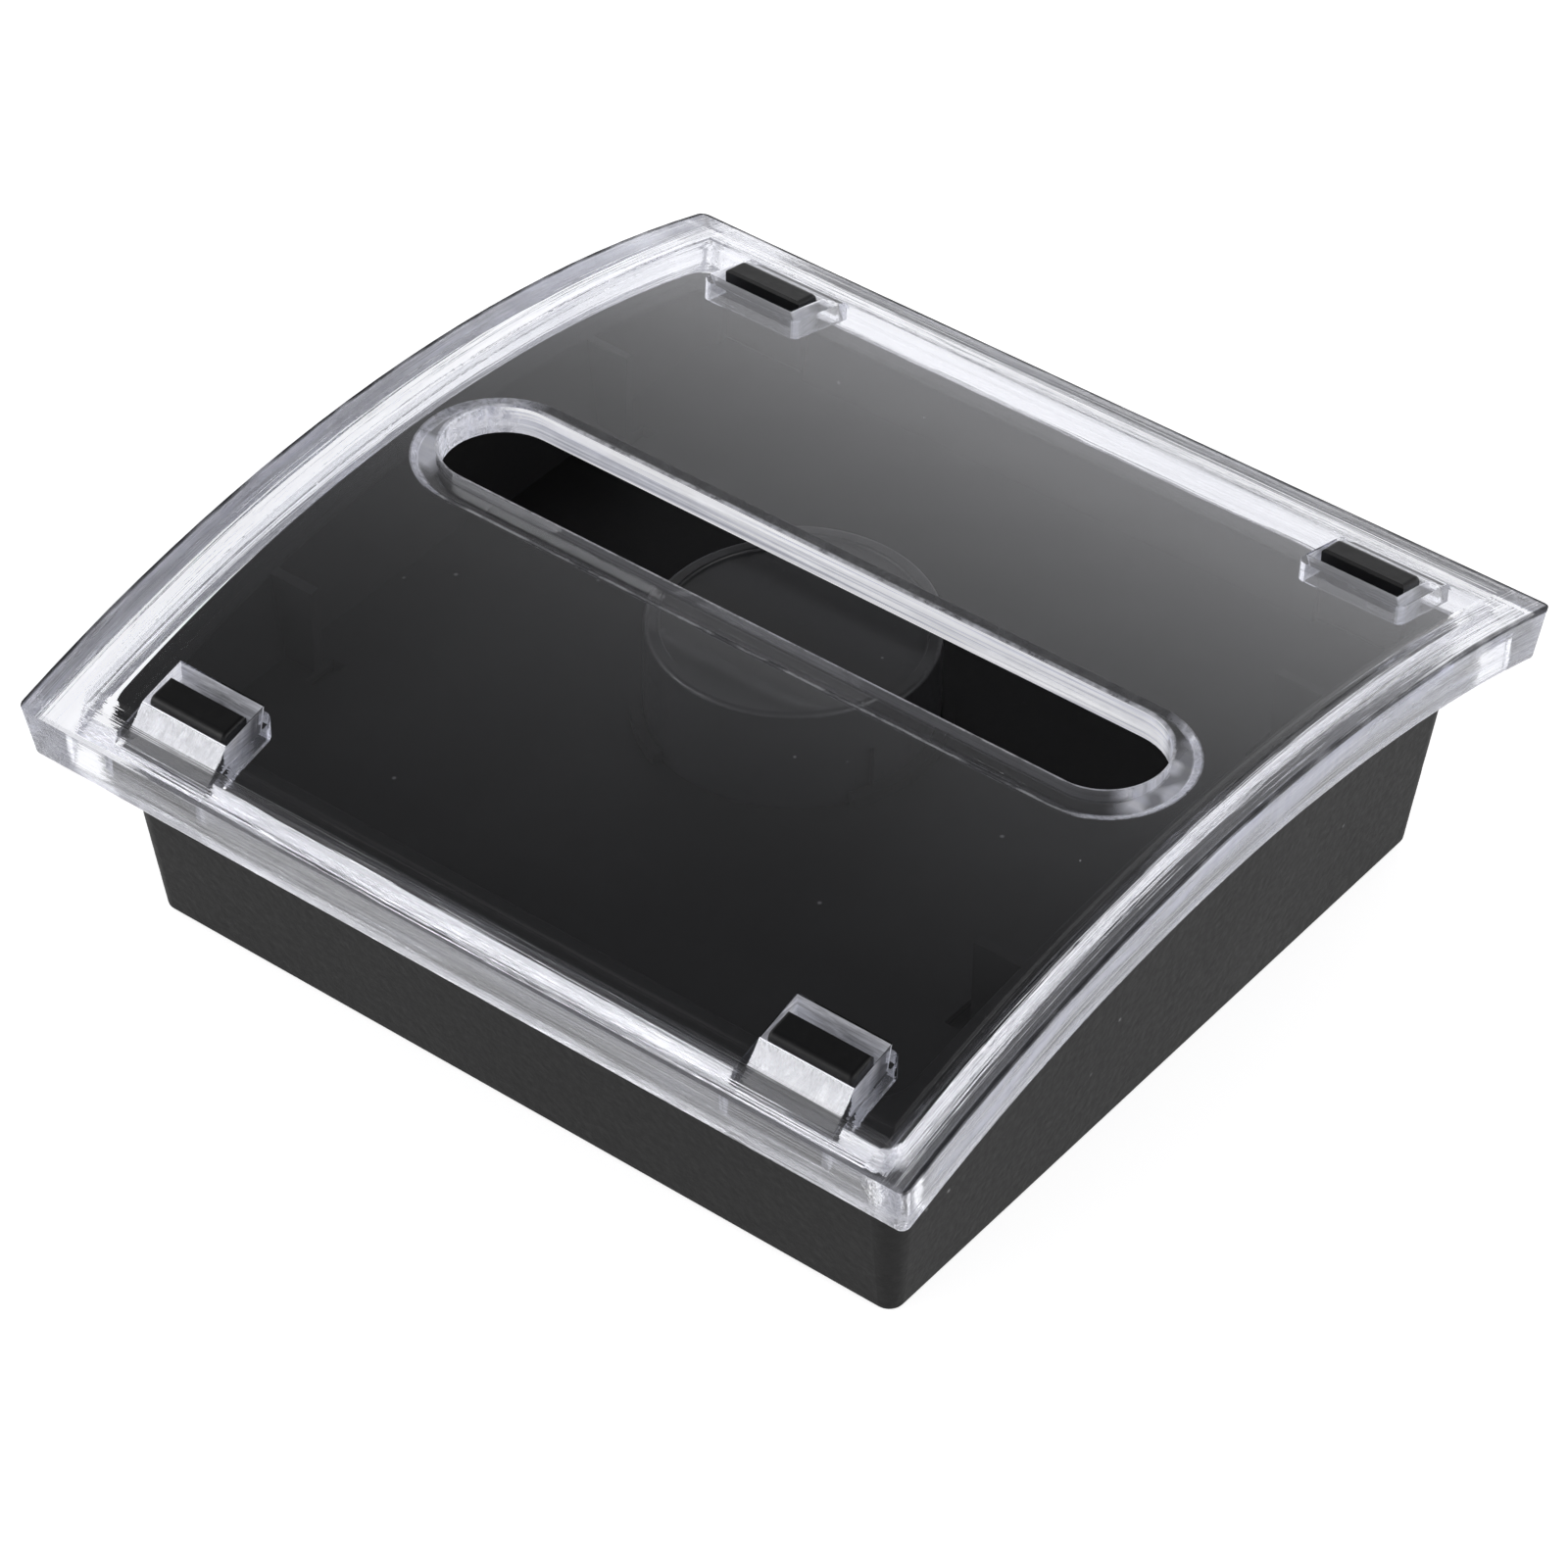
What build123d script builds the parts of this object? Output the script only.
from build123d import *
import os
from math import sqrt, asin, degrees, radians, sin, cos

# Desktop dispenser for 76 mm fan-folded pop-up notes: an arched clear cover latched
# onto a base shell, with a sprung pusher that lifts the pad of notes.
# Millimetres.  X runs along the note slot, Y runs from the front to the rear,
# Z is up.  The origin is at the centre of the face that rests on the desk.
# HALF_X and HALF_Y are half sizes; other _X and _Y values are distances from the
# middle planes, and are mirrored to all sides.

os.makedirs("parts", exist_ok=True)

# ---------------------------------------------------------------- dimensions
# clear cover: a plate bent to an arch about an axis parallel to X
COVER_HALF_X = 104.9 / 2         # to the left and right edges, at the top
COVER_HALF_Y = 103.5 / 2         # to the front and rear edges, at the top
CROWN_Z = 35.65                  # top of the arch
EDGE_Z = 27.47                   # height of the front and rear top edges
COVER_T = 2.6                    # plate thickness
COVER_CORNER_R = 0.9             # plan radius of the corners
COVER_TOP_R, COVER_LOW_R = 0.4, 0.5      # rounding of the upper and lower outer edges
RIM_H = 6.1                      # height of the edge band
RIM_W = 4.0                      # thickness of the edge band at the plate
RIM_TAPER_X = 0.55               # inward lean over that height, left and right
RIM_TAPER_Y = 1.05               # the same, front and rear
RIM_IN_TAPER = 0.3               # draft of the band's inner face
HOLLOW_CORNER_R = 2.2

SLOT_HALF_W = 6.2                # note slot
SLOT_END_X = 36.1                # centre of each rounded end
SLOT_LIP_R = 0.3
SLOT_COLLAR_T = 2.8              # stiffening band around the slot: width at the plate,
SLOT_COLLAR_LOW_T = 2.0          # width at its underside,
SLOT_COLLAR_Z = 32.3             # height of its underside

WIN_X0, WIN_X1 = 31.6, 42.1      # latch windows
WIN_Y0, WIN_Y1 = 39.95, 45.35
WIN_W, WIN_D = WIN_X1 - WIN_X0, WIN_Y1 - WIN_Y0
WIN_COLLAR_T = 0.8
WIN_COLLAR_R = 1.0
WIN_COLLAR_DROP = 4.68           # depth of the window collars below the top surface
WIN_LEAN = 2.0                   # outward lean of a window's outer wall over that depth
UNDERCUT_H = 6.5                 # height of the leaning cut
SEAT_GAP = 0.05                  # collars stand this far above the wall tops
WALL_DROP = WIN_COLLAR_DROP + SEAT_GAP   # wall tops below the arch

# base shell
BASE_HALF_X, BASE_HALF_Y = 44.74, 42.29  # at the bottom
DRAFT_X, DRAFT_Y = 0.103, 0.145  # outward lean of the walls, per mm of height
BASE_Z0 = 0.3                    # bottom edge of the walls above the desk
SHELL_Z1 = 34.0                  # walls are drawn up to here, then cut by the arch
BASE_R0, BASE_R1 = 1.6, 4.4      # plan radius of the corners, bottom and top
FLOOR_TOP, FLOOR_T = 19.6, 2.0   # floor of the note compartment
FLOOR_UNDER = FLOOR_TOP - FLOOR_T
FLOOR_BITE = 0.5                 # overlap of added shapes into the floor
INNER_HALF_X0, INNER_HALF_Y0, INNER_R0 = 43.2, 41.9, 3.0     # compartment at the floor
INNER_HALF_X1, INNER_HALF_Y1, INNER_R1 = 45.45, 43.5, 4.2    # compartment at SHELL_Z1
RIB_REACH = 39.5                 # pad guide ribs end this far from the X middle plane
RIB_OUTER_X = 45.2               # they start inside the wall
RIB_Y = 23.7
RIB_T = 1.1
CORE_HALF_W = 2.1                # core-outs beside the rib ends
CORE_L, CORE_DEPTH = 1.7, 1.2

# pusher, guide and spring
PUSHER_R = 14.25
PUSHER_TOP = 30.8
PUSHER_WALL = 1.6
PUSHER_TOP_T = 2.2
PUSHER_UNDER_TOP = PUSHER_TOP - PUSHER_TOP_T
DISH_RIM, DISH_DEPTH = 1.3, 0.4
FLANGE_R, FLANGE_T = 16.6, 1.2
FLANGE_GAP = 0.05                # flange to floor
SEAT_R1, SEAT_R0 = 8.6, 7.6      # spring seat ring
SEAT_DEPTH = 4.0                 # its lower end below the pusher's top
GUIDE_BORE = PUSHER_R + 0.1      # radius
GUIDE_R = GUIDE_BORE + 1.2
GUIDE_TOP = FLOOR_TOP + 1.2
GUIDE_GAPS = ((-110.0, -30.0), (70.0, 150.0))    # directions where the ring is left out
GROOVE_ANGLE = -23.3             # direction of the key groove in the pusher's wall
GROOVE_W, GROOVE_D = 2.0, 0.8
GROOVE_TOP = 25.2
WIRE_R = 0.55
WIRE_GAP = 0.03
SPRING_R = 9.6
SPRING_TURNS = 6

# latch fingers
LATCH_GAP = 0.5                  # beside each finger, in its window and pocket
LATCH_X0, LATCH_X1 = WIN_X0 + LATCH_GAP, WIN_X1 - LATCH_GAP
STEM_Y0, STEM_Y1 = 42.0, 43.9
HEAD_Y0, HEAD_Y1 = 41.9, 45.15
LATCH_ROOT_Z = 20.7              # flexing axis
POCKET_Y0, POCKET_Y1 = 41.0, STEM_Y1 + 0.2
FEATURE_TOP_Z = 33               # top of the pocket cuts and of the untrimmed ribs

# underside
PLATE_Z0, PLATE_Z1 = 1.2, 3.4
PLATE_HALF_X, PLATE_HALF_Y, PLATE_R = 41.9, 39.4, 3.4
PAD_INSET, PAD_R = 0.7, 3.0
PAD_HOLE_R = 3.4
SCREW_X, SCREW_Y = 36.6, 34.0
BOSS_R, BOSS_GAP = 3.3, 0.02     # gap between boss and bottom plate
PILOT_R, PILOT_Z0, PILOT_Z1 = 1.15, 1.5, 13.5
WEB_T, WEB_LIFT = 1.2, 1.5       # webs beside the bosses, and their lift off the plate
SCREW_HOLE_R, HEAD_HOLE_R, HEAD_HOLE_H = 1.4, 2.9, 1.3
HEAD_R, SHANK_R = 2.5, 1.1
CROSS_L, CROSS_W, CROSS_D = 2.8, 0.5, 0.75       # cross recess in the screw heads
BALLAST_X0, BALLAST_X1 = 19.4, 31.6
BALLAST_HALF_Y, BALLAST_H, BALLAST_R = 35.0, 9.0, 1.0
HOLD_RIBS_Y, HOLD_RIB_T, HOLD_RIB_INSET = (-24, 0, 24), 1.4, 1.5
FENCE_GAP, FENCE_T, FENCE_H = 0.1, 1.2, 2.5
POST_R1, POST_R0, POST_H = 8.3, 6.6, 7.5
PLATE_BITE = 0.5                 # overlap of post and fences into the plate

# the cover's arch, through the crown and the two top edges
SAG = CROWN_Z - EDGE_Z
ARC_R = (COVER_HALF_Y ** 2 + SAG ** 2) / (2 * SAG)
ARC_Z = CROWN_Z - ARC_R          # height of the arch's axis
ARC_HALF_ANGLE = degrees(asin((COVER_HALF_Y + 4) / (ARC_R - RIM_H)))
FAR_X = 80.0                     # well beyond every part

# (left -1 or right +1, front -1 or rear +1)
CORNERS = [(sx, sy) for sx in (-1, 1) for sy in (-1, 1)]


# ------------------------------------------------------------------- helpers
def arch_z(y, drop=0.0):
    """Height of the arch, lowered by drop along its radius, at a given y."""
    radius = ARC_R - drop
    return ARC_Z + sqrt(radius * radius - y * y)


def under_arch(drop):
    """Everything below the arch lowered by drop."""
    return Pos(0, 0, ARC_Z) * (Rot(0, 90, 0) * Cylinder(ARC_R - drop, 2 * FAR_X))


def ring_sector(x_top, r_top, x_low, r_low):
    """A symmetric trapezoid in X and radius, turned about the arch's axis."""
    profile = [(-x_top, r_top), (x_top, r_top), (x_low, r_low), (-x_low, r_low)]
    points = [(x, 0, ARC_Z + radius) for x, radius in profile]
    face = make_face(Polyline(*points, close=True))
    axis = Axis((0, 0, ARC_Z), (1, 0, 0))
    return revolve(face.rotate(axis, -ARC_HALF_ANGLE), axis, 2 * ARC_HALF_ANGLE)


def yz_prism(points, x0, x1):
    """A (y, z) polygon extruded along X."""
    face = make_face(Polyline(*[(x0, y, z) for y, z in points], close=True))
    return extrude(face, amount=x1 - x0, dir=(1, 0, 0))


def symmetric_prism(y_top, z_top, y_low, z_low):
    """A trapezoid, symmetric front to rear, extruded across the full width."""
    points = [(-y_top, z_top), (y_top, z_top), (y_low, z_low), (-y_low, z_low)]
    return yz_prism(points, -FAR_X, FAR_X)


def rounded(half_x, half_y, radius, z):
    return Pos(0, 0, z) * RectangleRounded(2 * half_x, 2 * half_y, radius)


def tapered(low, high):
    """Loft between two rounded rectangles (half_x, half_y, radius, z)."""
    return loft([rounded(*low), rounded(*high)])


def box(x0, x1, y0, y1, z0, z1):
    centre = Pos((x0 + x1) / 2, (y0 + y1) / 2, (z0 + z1) / 2)
    return centre * Box(x1 - x0, y1 - y0, z1 - z0)


def span(sign, near, far):
    """A range of distances from a middle plane, on the side given by sign."""
    return sorted((sign * near, sign * far))


def rod(radius, z0, z1):
    return Pos(0, 0, (z0 + z1) / 2) * Cylinder(radius, z1 - z0)


def tube(outer_r, inner_r, z0, z1):
    return rod(outer_r, z0, z1) - rod(inner_r, z0 - 1, z1 + 1)


def screw_at(sx, sy):
    return Pos(sx * SCREW_X, sy * SCREW_Y, 0)


def axis_distance(edge):
    """Distance of an edge's centre from the arch's axis."""
    return sqrt(edge.center().Y ** 2 + (edge.center().Z - ARC_Z) ** 2)


def upright_edges(shape, min_length=0):
    return [e for e in shape.edges()
            if abs(e.tangent_at(0.5).Z) > 0.9 and e.length > min_length]


def edges_at(shape, z):
    return [e for e in shape.edges() if abs(e.center().Z - z) < 0.01]


def soften(shape, edges, radius):
    """Round a group of edges; if the group as a whole can't be rounded, keep it sharp."""
    if not edges:
        return shape
    # guards against a fillet that the kernel can't build
    try:
        out = fillet(edges, radius)
        if out.is_valid and len(out.solids()) == len(shape.solids()):
            return out
    except Exception:
        pass
    return shape


# --------------------------------------------------------------- clear cover
def cover_body():
    """The arched block with raked edges, before it is hollowed."""
    body = ring_sector(COVER_HALF_X, ARC_R, COVER_HALF_X - RIM_TAPER_X, ARC_R - RIM_H)
    rake = RIM_TAPER_Y / RIM_H
    above, below = 14, 12        # reach of the trimming prism about the top edges
    body = body & symmetric_prism(COVER_HALF_Y + above * rake, EDGE_Z + above,
                                  COVER_HALF_Y - below * rake, EDGE_Z - below)
    body = soften(body, upright_edges(body, 4), COVER_CORNER_R)
    top = [e for e in body.edges() if abs(axis_distance(e) - ARC_R) < 0.5]
    body = soften(body, top, COVER_TOP_R)
    low = [e for e in body.edges() if axis_distance(e) < ARC_R - RIM_H + 0.5]
    return soften(body, low, COVER_LOW_R)


def cover_hollow():
    """The space under the plate, inside the edge band."""
    half_x, half_y = COVER_HALF_X - RIM_W, COVER_HALF_Y - RIM_W
    hollow = ring_sector(half_x, ARC_R - COVER_T,
                         half_x + RIM_IN_TAPER * 1.6, ARC_R - RIM_H - 3)
    hollow = hollow & symmetric_prism(half_y - 0.5, EDGE_Z + 10, half_y + 0.9, EDGE_Z - 18)
    return soften(hollow, upright_edges(hollow, 3), HOLLOW_CORNER_R)


def slot_collar():
    """Stiffening band around the slot, still solid."""
    plate_under = CROWN_Z - COVER_T
    rise = 0.6                   # carried on into the plate
    low = SLOT_HALF_W + SLOT_COLLAR_LOW_T
    high = SLOT_HALF_W + SLOT_COLLAR_T
    high += rise * (high - low) / (plate_under - SLOT_COLLAR_Z)
    collar = loft([
        Pos(0, 0, SLOT_COLLAR_Z) * SlotCenterToCenter(2 * SLOT_END_X, 2 * low),
        Pos(0, 0, plate_under + rise) * SlotCenterToCenter(2 * SLOT_END_X, 2 * high)])
    return collar & under_arch(COVER_T / 2)


def window_column(sx, sy, section):
    """A section centred on a latch window, extruded through the cover's height."""
    centre = Pos(sx * (WIN_X0 + WIN_X1) / 2, sy * (WIN_Y0 + WIN_Y1) / 2, 15)
    return centre * extrude(section, amount=25)


def window_collar(sx, sy):
    """Collar around a latch window, still solid."""
    width, depth = WIN_W + 2 * WIN_COLLAR_T, WIN_D + 2 * WIN_COLLAR_T
    collar = window_column(sx, sy, RectangleRounded(width, depth, WIN_COLLAR_R))
    # on the outer side the collar is solid up to the edge band
    y0, y1 = span(sy, WIN_Y1 - 0.3, COVER_HALF_Y - RIM_W + 0.45)
    centre_x = sx * (WIN_X0 + WIN_X1) / 2
    collar = collar + Pos(centre_x, (y0 + y1) / 2, 27.5) * Box(width, y1 - y0, 25)
    return (collar & under_arch(COVER_T / 2)) - under_arch(WIN_COLLAR_DROP)


def window_undercut(sx, sy):
    """Leaning cut in a window's outer wall; the latch's barb snaps in under it."""
    top, inner_y = arch_z(WIN_Y1), WIN_Y1 - 0.5
    outer_y = WIN_Y1 + UNDERCUT_H * WIN_LEAN / WIN_COLLAR_DROP
    outline = [(inner_y, top), (WIN_Y1, top),
               (outer_y, top - UNDERCUT_H), (inner_y, top - UNDERCUT_H)]
    wedge = yz_prism([(sy * y, z) for y, z in outline], *span(sx, WIN_X0, WIN_X1))
    return wedge & under_arch(0)


def make_cover():
    cover = cover_body() - cover_hollow()
    cover = cover + slot_collar()
    for sx, sy in CORNERS:
        cover = cover + window_collar(sx, sy)
    slot = SlotCenterToCenter(2 * SLOT_END_X, 2 * SLOT_HALF_W)
    cover = cover - Pos(0, 0, 20) * extrude(slot, amount=25)
    for sx, sy in CORNERS:
        cover = cover - window_column(sx, sy, Rectangle(WIN_W, WIN_D))
        cover = cover - window_undercut(sx, sy)
    # the slot's upper lip is lightly rounded
    lip = [e for e in cover.edges()
           if abs(axis_distance(e) - ARC_R) < 0.6
           and abs(e.center().Y) < SLOT_HALF_W + 0.5
           and abs(e.center().X) < SLOT_END_X + SLOT_HALF_W]
    return soften(cover, lip, SLOT_LIP_R)


# ---------------------------------------------------------------- base shell
def base_section(radius, z):
    """Outer rounded rectangle of the walls at height z."""
    return BASE_HALF_X + DRAFT_X * z, BASE_HALF_Y + DRAFT_Y * z, radius, z


def base_walls():
    """Outer shell with the note compartment above the floor and the hollow below."""
    outer = tapered(base_section(BASE_R0, BASE_Z0), base_section(BASE_R1, SHELL_Z1))
    outer = soften(outer, edges_at(outer, BASE_Z0), 0.5)
    shell = outer & under_arch(WALL_DROP)
    shell = shell - tapered((INNER_HALF_X0, INNER_HALF_Y0, INNER_R0, FLOOR_TOP),
                            (INNER_HALF_X1, INNER_HALF_Y1, INNER_R1, SHELL_Z1))
    shell = shell - tapered((PLATE_HALF_X + 0.25, PLATE_HALF_Y + 0.25, PLATE_R, -1),
                            (PLATE_HALF_X + 1.6, PLATE_HALF_Y + 2.2, 4.2, FLOOR_UNDER))
    wall_tops = [e for e in shell.edges()
                 if abs(axis_distance(e) - (ARC_R - WALL_DROP)) < 0.8
                 and e.center().Z > 22]
    return soften(shell, wall_tops, 0.25)


def add_guide(shell):
    """Interrupted guide ring for the pusher, and its bore through the floor."""
    shell = shell + tube(GUIDE_R, GUIDE_BORE, FLOOR_TOP - FLOOR_BITE, GUIDE_TOP)
    shell = shell - rod(GUIDE_BORE, FLOOR_UNDER - 2, GUIDE_TOP + 2)
    for gap in GUIDE_GAPS:
        far = [(40 * cos(radians(a)), 40 * sin(radians(a)), FLOOR_TOP) for a in gap]
        face = make_face(Polyline((0, 0, FLOOR_TOP), *far, close=True))
        shell = shell - extrude(face, amount=8, dir=(0, 0, 1))
    return shell


def make_base():
    shell = add_guide(base_walls())
    # pad guide ribs on the side walls, each with a core-out in the floor beside its end
    for sx, sy in CORNERS:
        y = sy * RIB_Y
        rib = box(*span(sx, RIB_REACH, RIB_OUTER_X), y - RIB_T / 2, y + RIB_T / 2,
                  FLOOR_TOP - 0.4, FEATURE_TOP_Z)
        shell = shell + (rib & under_arch(WALL_DROP + 0.02))
        shell = shell - box(*span(sx, RIB_REACH - CORE_L, RIB_REACH + 0.02),
                            y - CORE_HALF_W, y + CORE_HALF_W,
                            FLOOR_TOP - CORE_DEPTH, FLOOR_TOP + 0.6)
    # pockets that free the latch fingers from the front and rear walls
    for sx, sy in CORNERS:
        shell = shell - box(*span(sx, LATCH_X0 - LATCH_GAP, LATCH_X1 + LATCH_GAP),
                            *span(sy, POCKET_Y0, POCKET_Y1), FLOOR_TOP, FEATURE_TOP_Z)
    # screw bosses under the floor, tied to the walls
    web_limit = tapered((BASE_HALF_X - 1, BASE_HALF_Y - 1, 1.5, 0),
                        (BASE_HALF_X + 1.0, BASE_HALF_Y + 1.6, 2.5, 20.5))
    boss_top = FLOOR_UNDER + FLOOR_BITE
    for sx, sy in CORNERS:
        y = sy * SCREW_Y
        boss = screw_at(sx, sy) * rod(BOSS_R, PLATE_Z1 + BOSS_GAP, boss_top)
        web = box(*span(sx, SCREW_X, PLATE_HALF_X + 1.2), y - WEB_T / 2, y + WEB_T / 2,
                  PLATE_Z1 + WEB_LIFT, boss_top)
        shell = shell + boss + (web & web_limit)
        shell = shell - screw_at(sx, sy) * rod(PILOT_R, PILOT_Z0, PILOT_Z1)
    # ribs that hold the ballast down
    for sx in (-1, 1):
        for y in HOLD_RIBS_Y:
            shell = shell + box(
                *span(sx, BALLAST_X0 + HOLD_RIB_INSET, BALLAST_X1 - HOLD_RIB_INSET),
                y - HOLD_RIB_T / 2, y + HOLD_RIB_T / 2,
                PLATE_Z1 + BALLAST_H + 0.05, boss_top)
    return shell


# -------------------------------------------------------------- latch finger
def make_latch(sx, sy):
    wall_z = arch_z(STEM_Y1, WALL_DROP)
    outer_z = arch_z(HEAD_Y1) + 0.5
    inner_z = arch_z(HEAD_Y0) + 0.2
    # side view of stem and outward barb: (distance from the middle plane, z)
    outline = [
        (STEM_Y0, LATCH_ROOT_Z), (STEM_Y0, 26.4), (HEAD_Y0, 26.9),
        (HEAD_Y0, inner_z - 0.25), (HEAD_Y0 + 0.25, inner_z),
        (HEAD_Y1, outer_z), (HEAD_Y1, wall_z + 2.6),
        (STEM_Y1, wall_z + 1.3), (STEM_Y1, LATCH_ROOT_Z),
    ]
    finger = yz_prism([(sy * y, z) for y, z in outline], *span(sx, LATCH_X0, LATCH_X1))
    root_at = Pos(sx * (LATCH_X0 + LATCH_X1) / 2, sy * (STEM_Y0 + STEM_Y1) / 2, LATCH_ROOT_Z)
    root = Cylinder((STEM_Y1 - STEM_Y0) / 2, LATCH_X1 - LATCH_X0)
    finger = finger + root_at * (Rot(0, 90, 0) * root)
    nose = [e for e in edges_at(finger, outer_z) if abs(abs(e.center().Y) - HEAD_Y1) < 0.01]
    finger = soften(finger, nose, 1.0)
    # edges of the barb's two end faces
    ends = [e for e in finger.edges()
            if min(abs(abs(e.center().X) - x) for x in (LATCH_X0, LATCH_X1)) < 0.01
            and e.center().Z > wall_z + 2.7 and abs(e.center().Y) > HEAD_Y0 + 0.3]
    return soften(finger, ends, 0.45)


# --------------------------------------------------------- pusher and spring
def make_pusher():
    flange_top = FLOOR_UNDER - FLANGE_GAP
    bottom = flange_top - FLANGE_T
    cup = rod(PUSHER_R, bottom, PUSHER_TOP)
    cup = cup + rod(FLANGE_R, bottom, flange_top)
    cup = soften(cup, edges_at(cup, PUSHER_TOP), 0.5)
    cup = cup - rod(PUSHER_R - PUSHER_WALL, bottom - 1, PUSHER_UNDER_TOP)
    # the disc inside the rim lies a little lower
    dish_z = PUSHER_TOP - DISH_DEPTH
    cup = cup - rod(PUSHER_R - DISH_RIM, dish_z, dish_z + 2)
    cup = soften(cup, edges_at(cup, dish_z), 0.3)
    # key groove in the wall, above the floor
    groove = box(PUSHER_R - GROOVE_D, PUSHER_R + 1, -GROOVE_W / 2, GROOVE_W / 2,
                 FLOOR_TOP + 0.1, GROOVE_TOP)
    cup = cup - Rot(0, 0, GROOVE_ANGLE) * groove
    # spring seat under the top
    return cup + tube(SEAT_R1, SEAT_R0, PUSHER_TOP - SEAT_DEPTH, PUSHER_TOP - 2.0)


def make_spring():
    z0 = PLATE_Z1 + WIRE_R + WIRE_GAP
    z1 = PUSHER_UNDER_TOP - WIRE_R - WIRE_GAP
    coil = Helix(pitch=(z1 - z0) / SPRING_TURNS, height=z1 - z0, radius=SPRING_R)
    coil = Pos(0, 0, z0) * coil
    section = Plane(origin=coil @ 0, z_dir=coil % 0) * Circle(WIRE_R)
    wire = sweep(section, path=coil, is_frenet=True)
    # dead coils at both ends
    for z in (z0, z1):
        wire = wire + Pos(0, 0, z) * Torus(SPRING_R, WIRE_R)
    return wire


# ----------------------------------------------------------------- underside
def make_bottom_plate():
    outline = RectangleRounded(2 * PLATE_HALF_X, 2 * PLATE_HALF_Y, PLATE_R)
    plate = Pos(0, 0, PLATE_Z0) * extrude(outline, amount=PLATE_Z1 - PLATE_Z0)
    # post that centres the spring
    plate = plate + tube(POST_R1, POST_R0, PLATE_Z1 - PLATE_BITE, PLATE_Z1 + POST_H)
    # low fences round the two weights
    width, depth = BALLAST_X1 - BALLAST_X0, 2 * BALLAST_HALF_Y
    gap, outer = 2 * FENCE_GAP, 2 * (FENCE_GAP + FENCE_T)
    for sx in (-1, 1):
        frame = Rectangle(width + outer, depth + outer) - Rectangle(width + gap, depth + gap)
        centre = Pos(sx * (BALLAST_X0 + BALLAST_X1) / 2, 0, PLATE_Z1 - PLATE_BITE)
        plate = plate + centre * extrude(frame, amount=FENCE_H + PLATE_BITE)
    for sx, sy in CORNERS:
        plate = plate - screw_at(sx, sy) * rod(SCREW_HOLE_R, -1, 5)
        plate = plate - screw_at(sx, sy) * rod(HEAD_HOLE_R, PLATE_Z0 - 0.1,
                                               PLATE_Z0 + HEAD_HOLE_H)
    return plate


def make_screw():
    """One screw on the Z axis, head down."""
    z0 = PLATE_Z0 + 0.1
    head_z, tip_z = z0 + 0.01, z0 + 10.1
    head = rod(HEAD_R, head_z, z0 + 1.19)
    head = soften(head, edges_at(head, head_z), 0.45)
    screw = head + rod(SHANK_R, z0 + 1.1, tip_z)
    screw = soften(screw, edges_at(screw, tip_z), 0.5)
    for angle in (0, 90):
        screw = screw - Rot(0, 0, angle) * box(
            -CROSS_L / 2, CROSS_L / 2, -CROSS_W / 2, CROSS_W / 2, z0 - 1, z0 + CROSS_D)
    return screw


def make_screws():
    screws = [screw_at(sx, sy) * make_screw() for sx, sy in CORNERS]
    return Compound(children=[screw.solid() for screw in screws])


def make_pad():
    outline = RectangleRounded(2 * (PLATE_HALF_X - PAD_INSET),
                               2 * (PLATE_HALF_Y - PAD_INSET), PAD_R)
    pad = extrude(outline, amount=PLATE_Z0)
    for sx, sy in CORNERS:
        pad = pad - screw_at(sx, sy) * rod(PAD_HOLE_R, -3, 3)
    return pad


def make_ballast(sx):
    z0 = PLATE_Z1 + 0.01
    block = box(*span(sx, BALLAST_X0, BALLAST_X1), -BALLAST_HALF_Y, BALLAST_HALF_Y,
                z0, z0 + BALLAST_H)
    return soften(block, upright_edges(block), BALLAST_R)


# -------------------------------------------------------------------- output
parts = {
    "clear_cover": make_cover(),
    "base_shell": make_base(),
    "pusher_cup": make_pusher(),
    "pusher_spring": make_spring(),
    "bottom_plate": make_bottom_plate(),
    "bottom_screws": make_screws(),
    "non_slip_pad": make_pad(),
    "ballast_left": make_ballast(-1),
    "ballast_right": make_ballast(1),
}
for sx, sy in CORNERS:
    end = "front" if sy < 0 else "rear"
    side = "left" if sx < 0 else "right"
    parts[f"latch_{end}_{side}"] = make_latch(sx, sy)

for name, shape in parts.items():
    export_step(shape, f"parts/{name}.step")
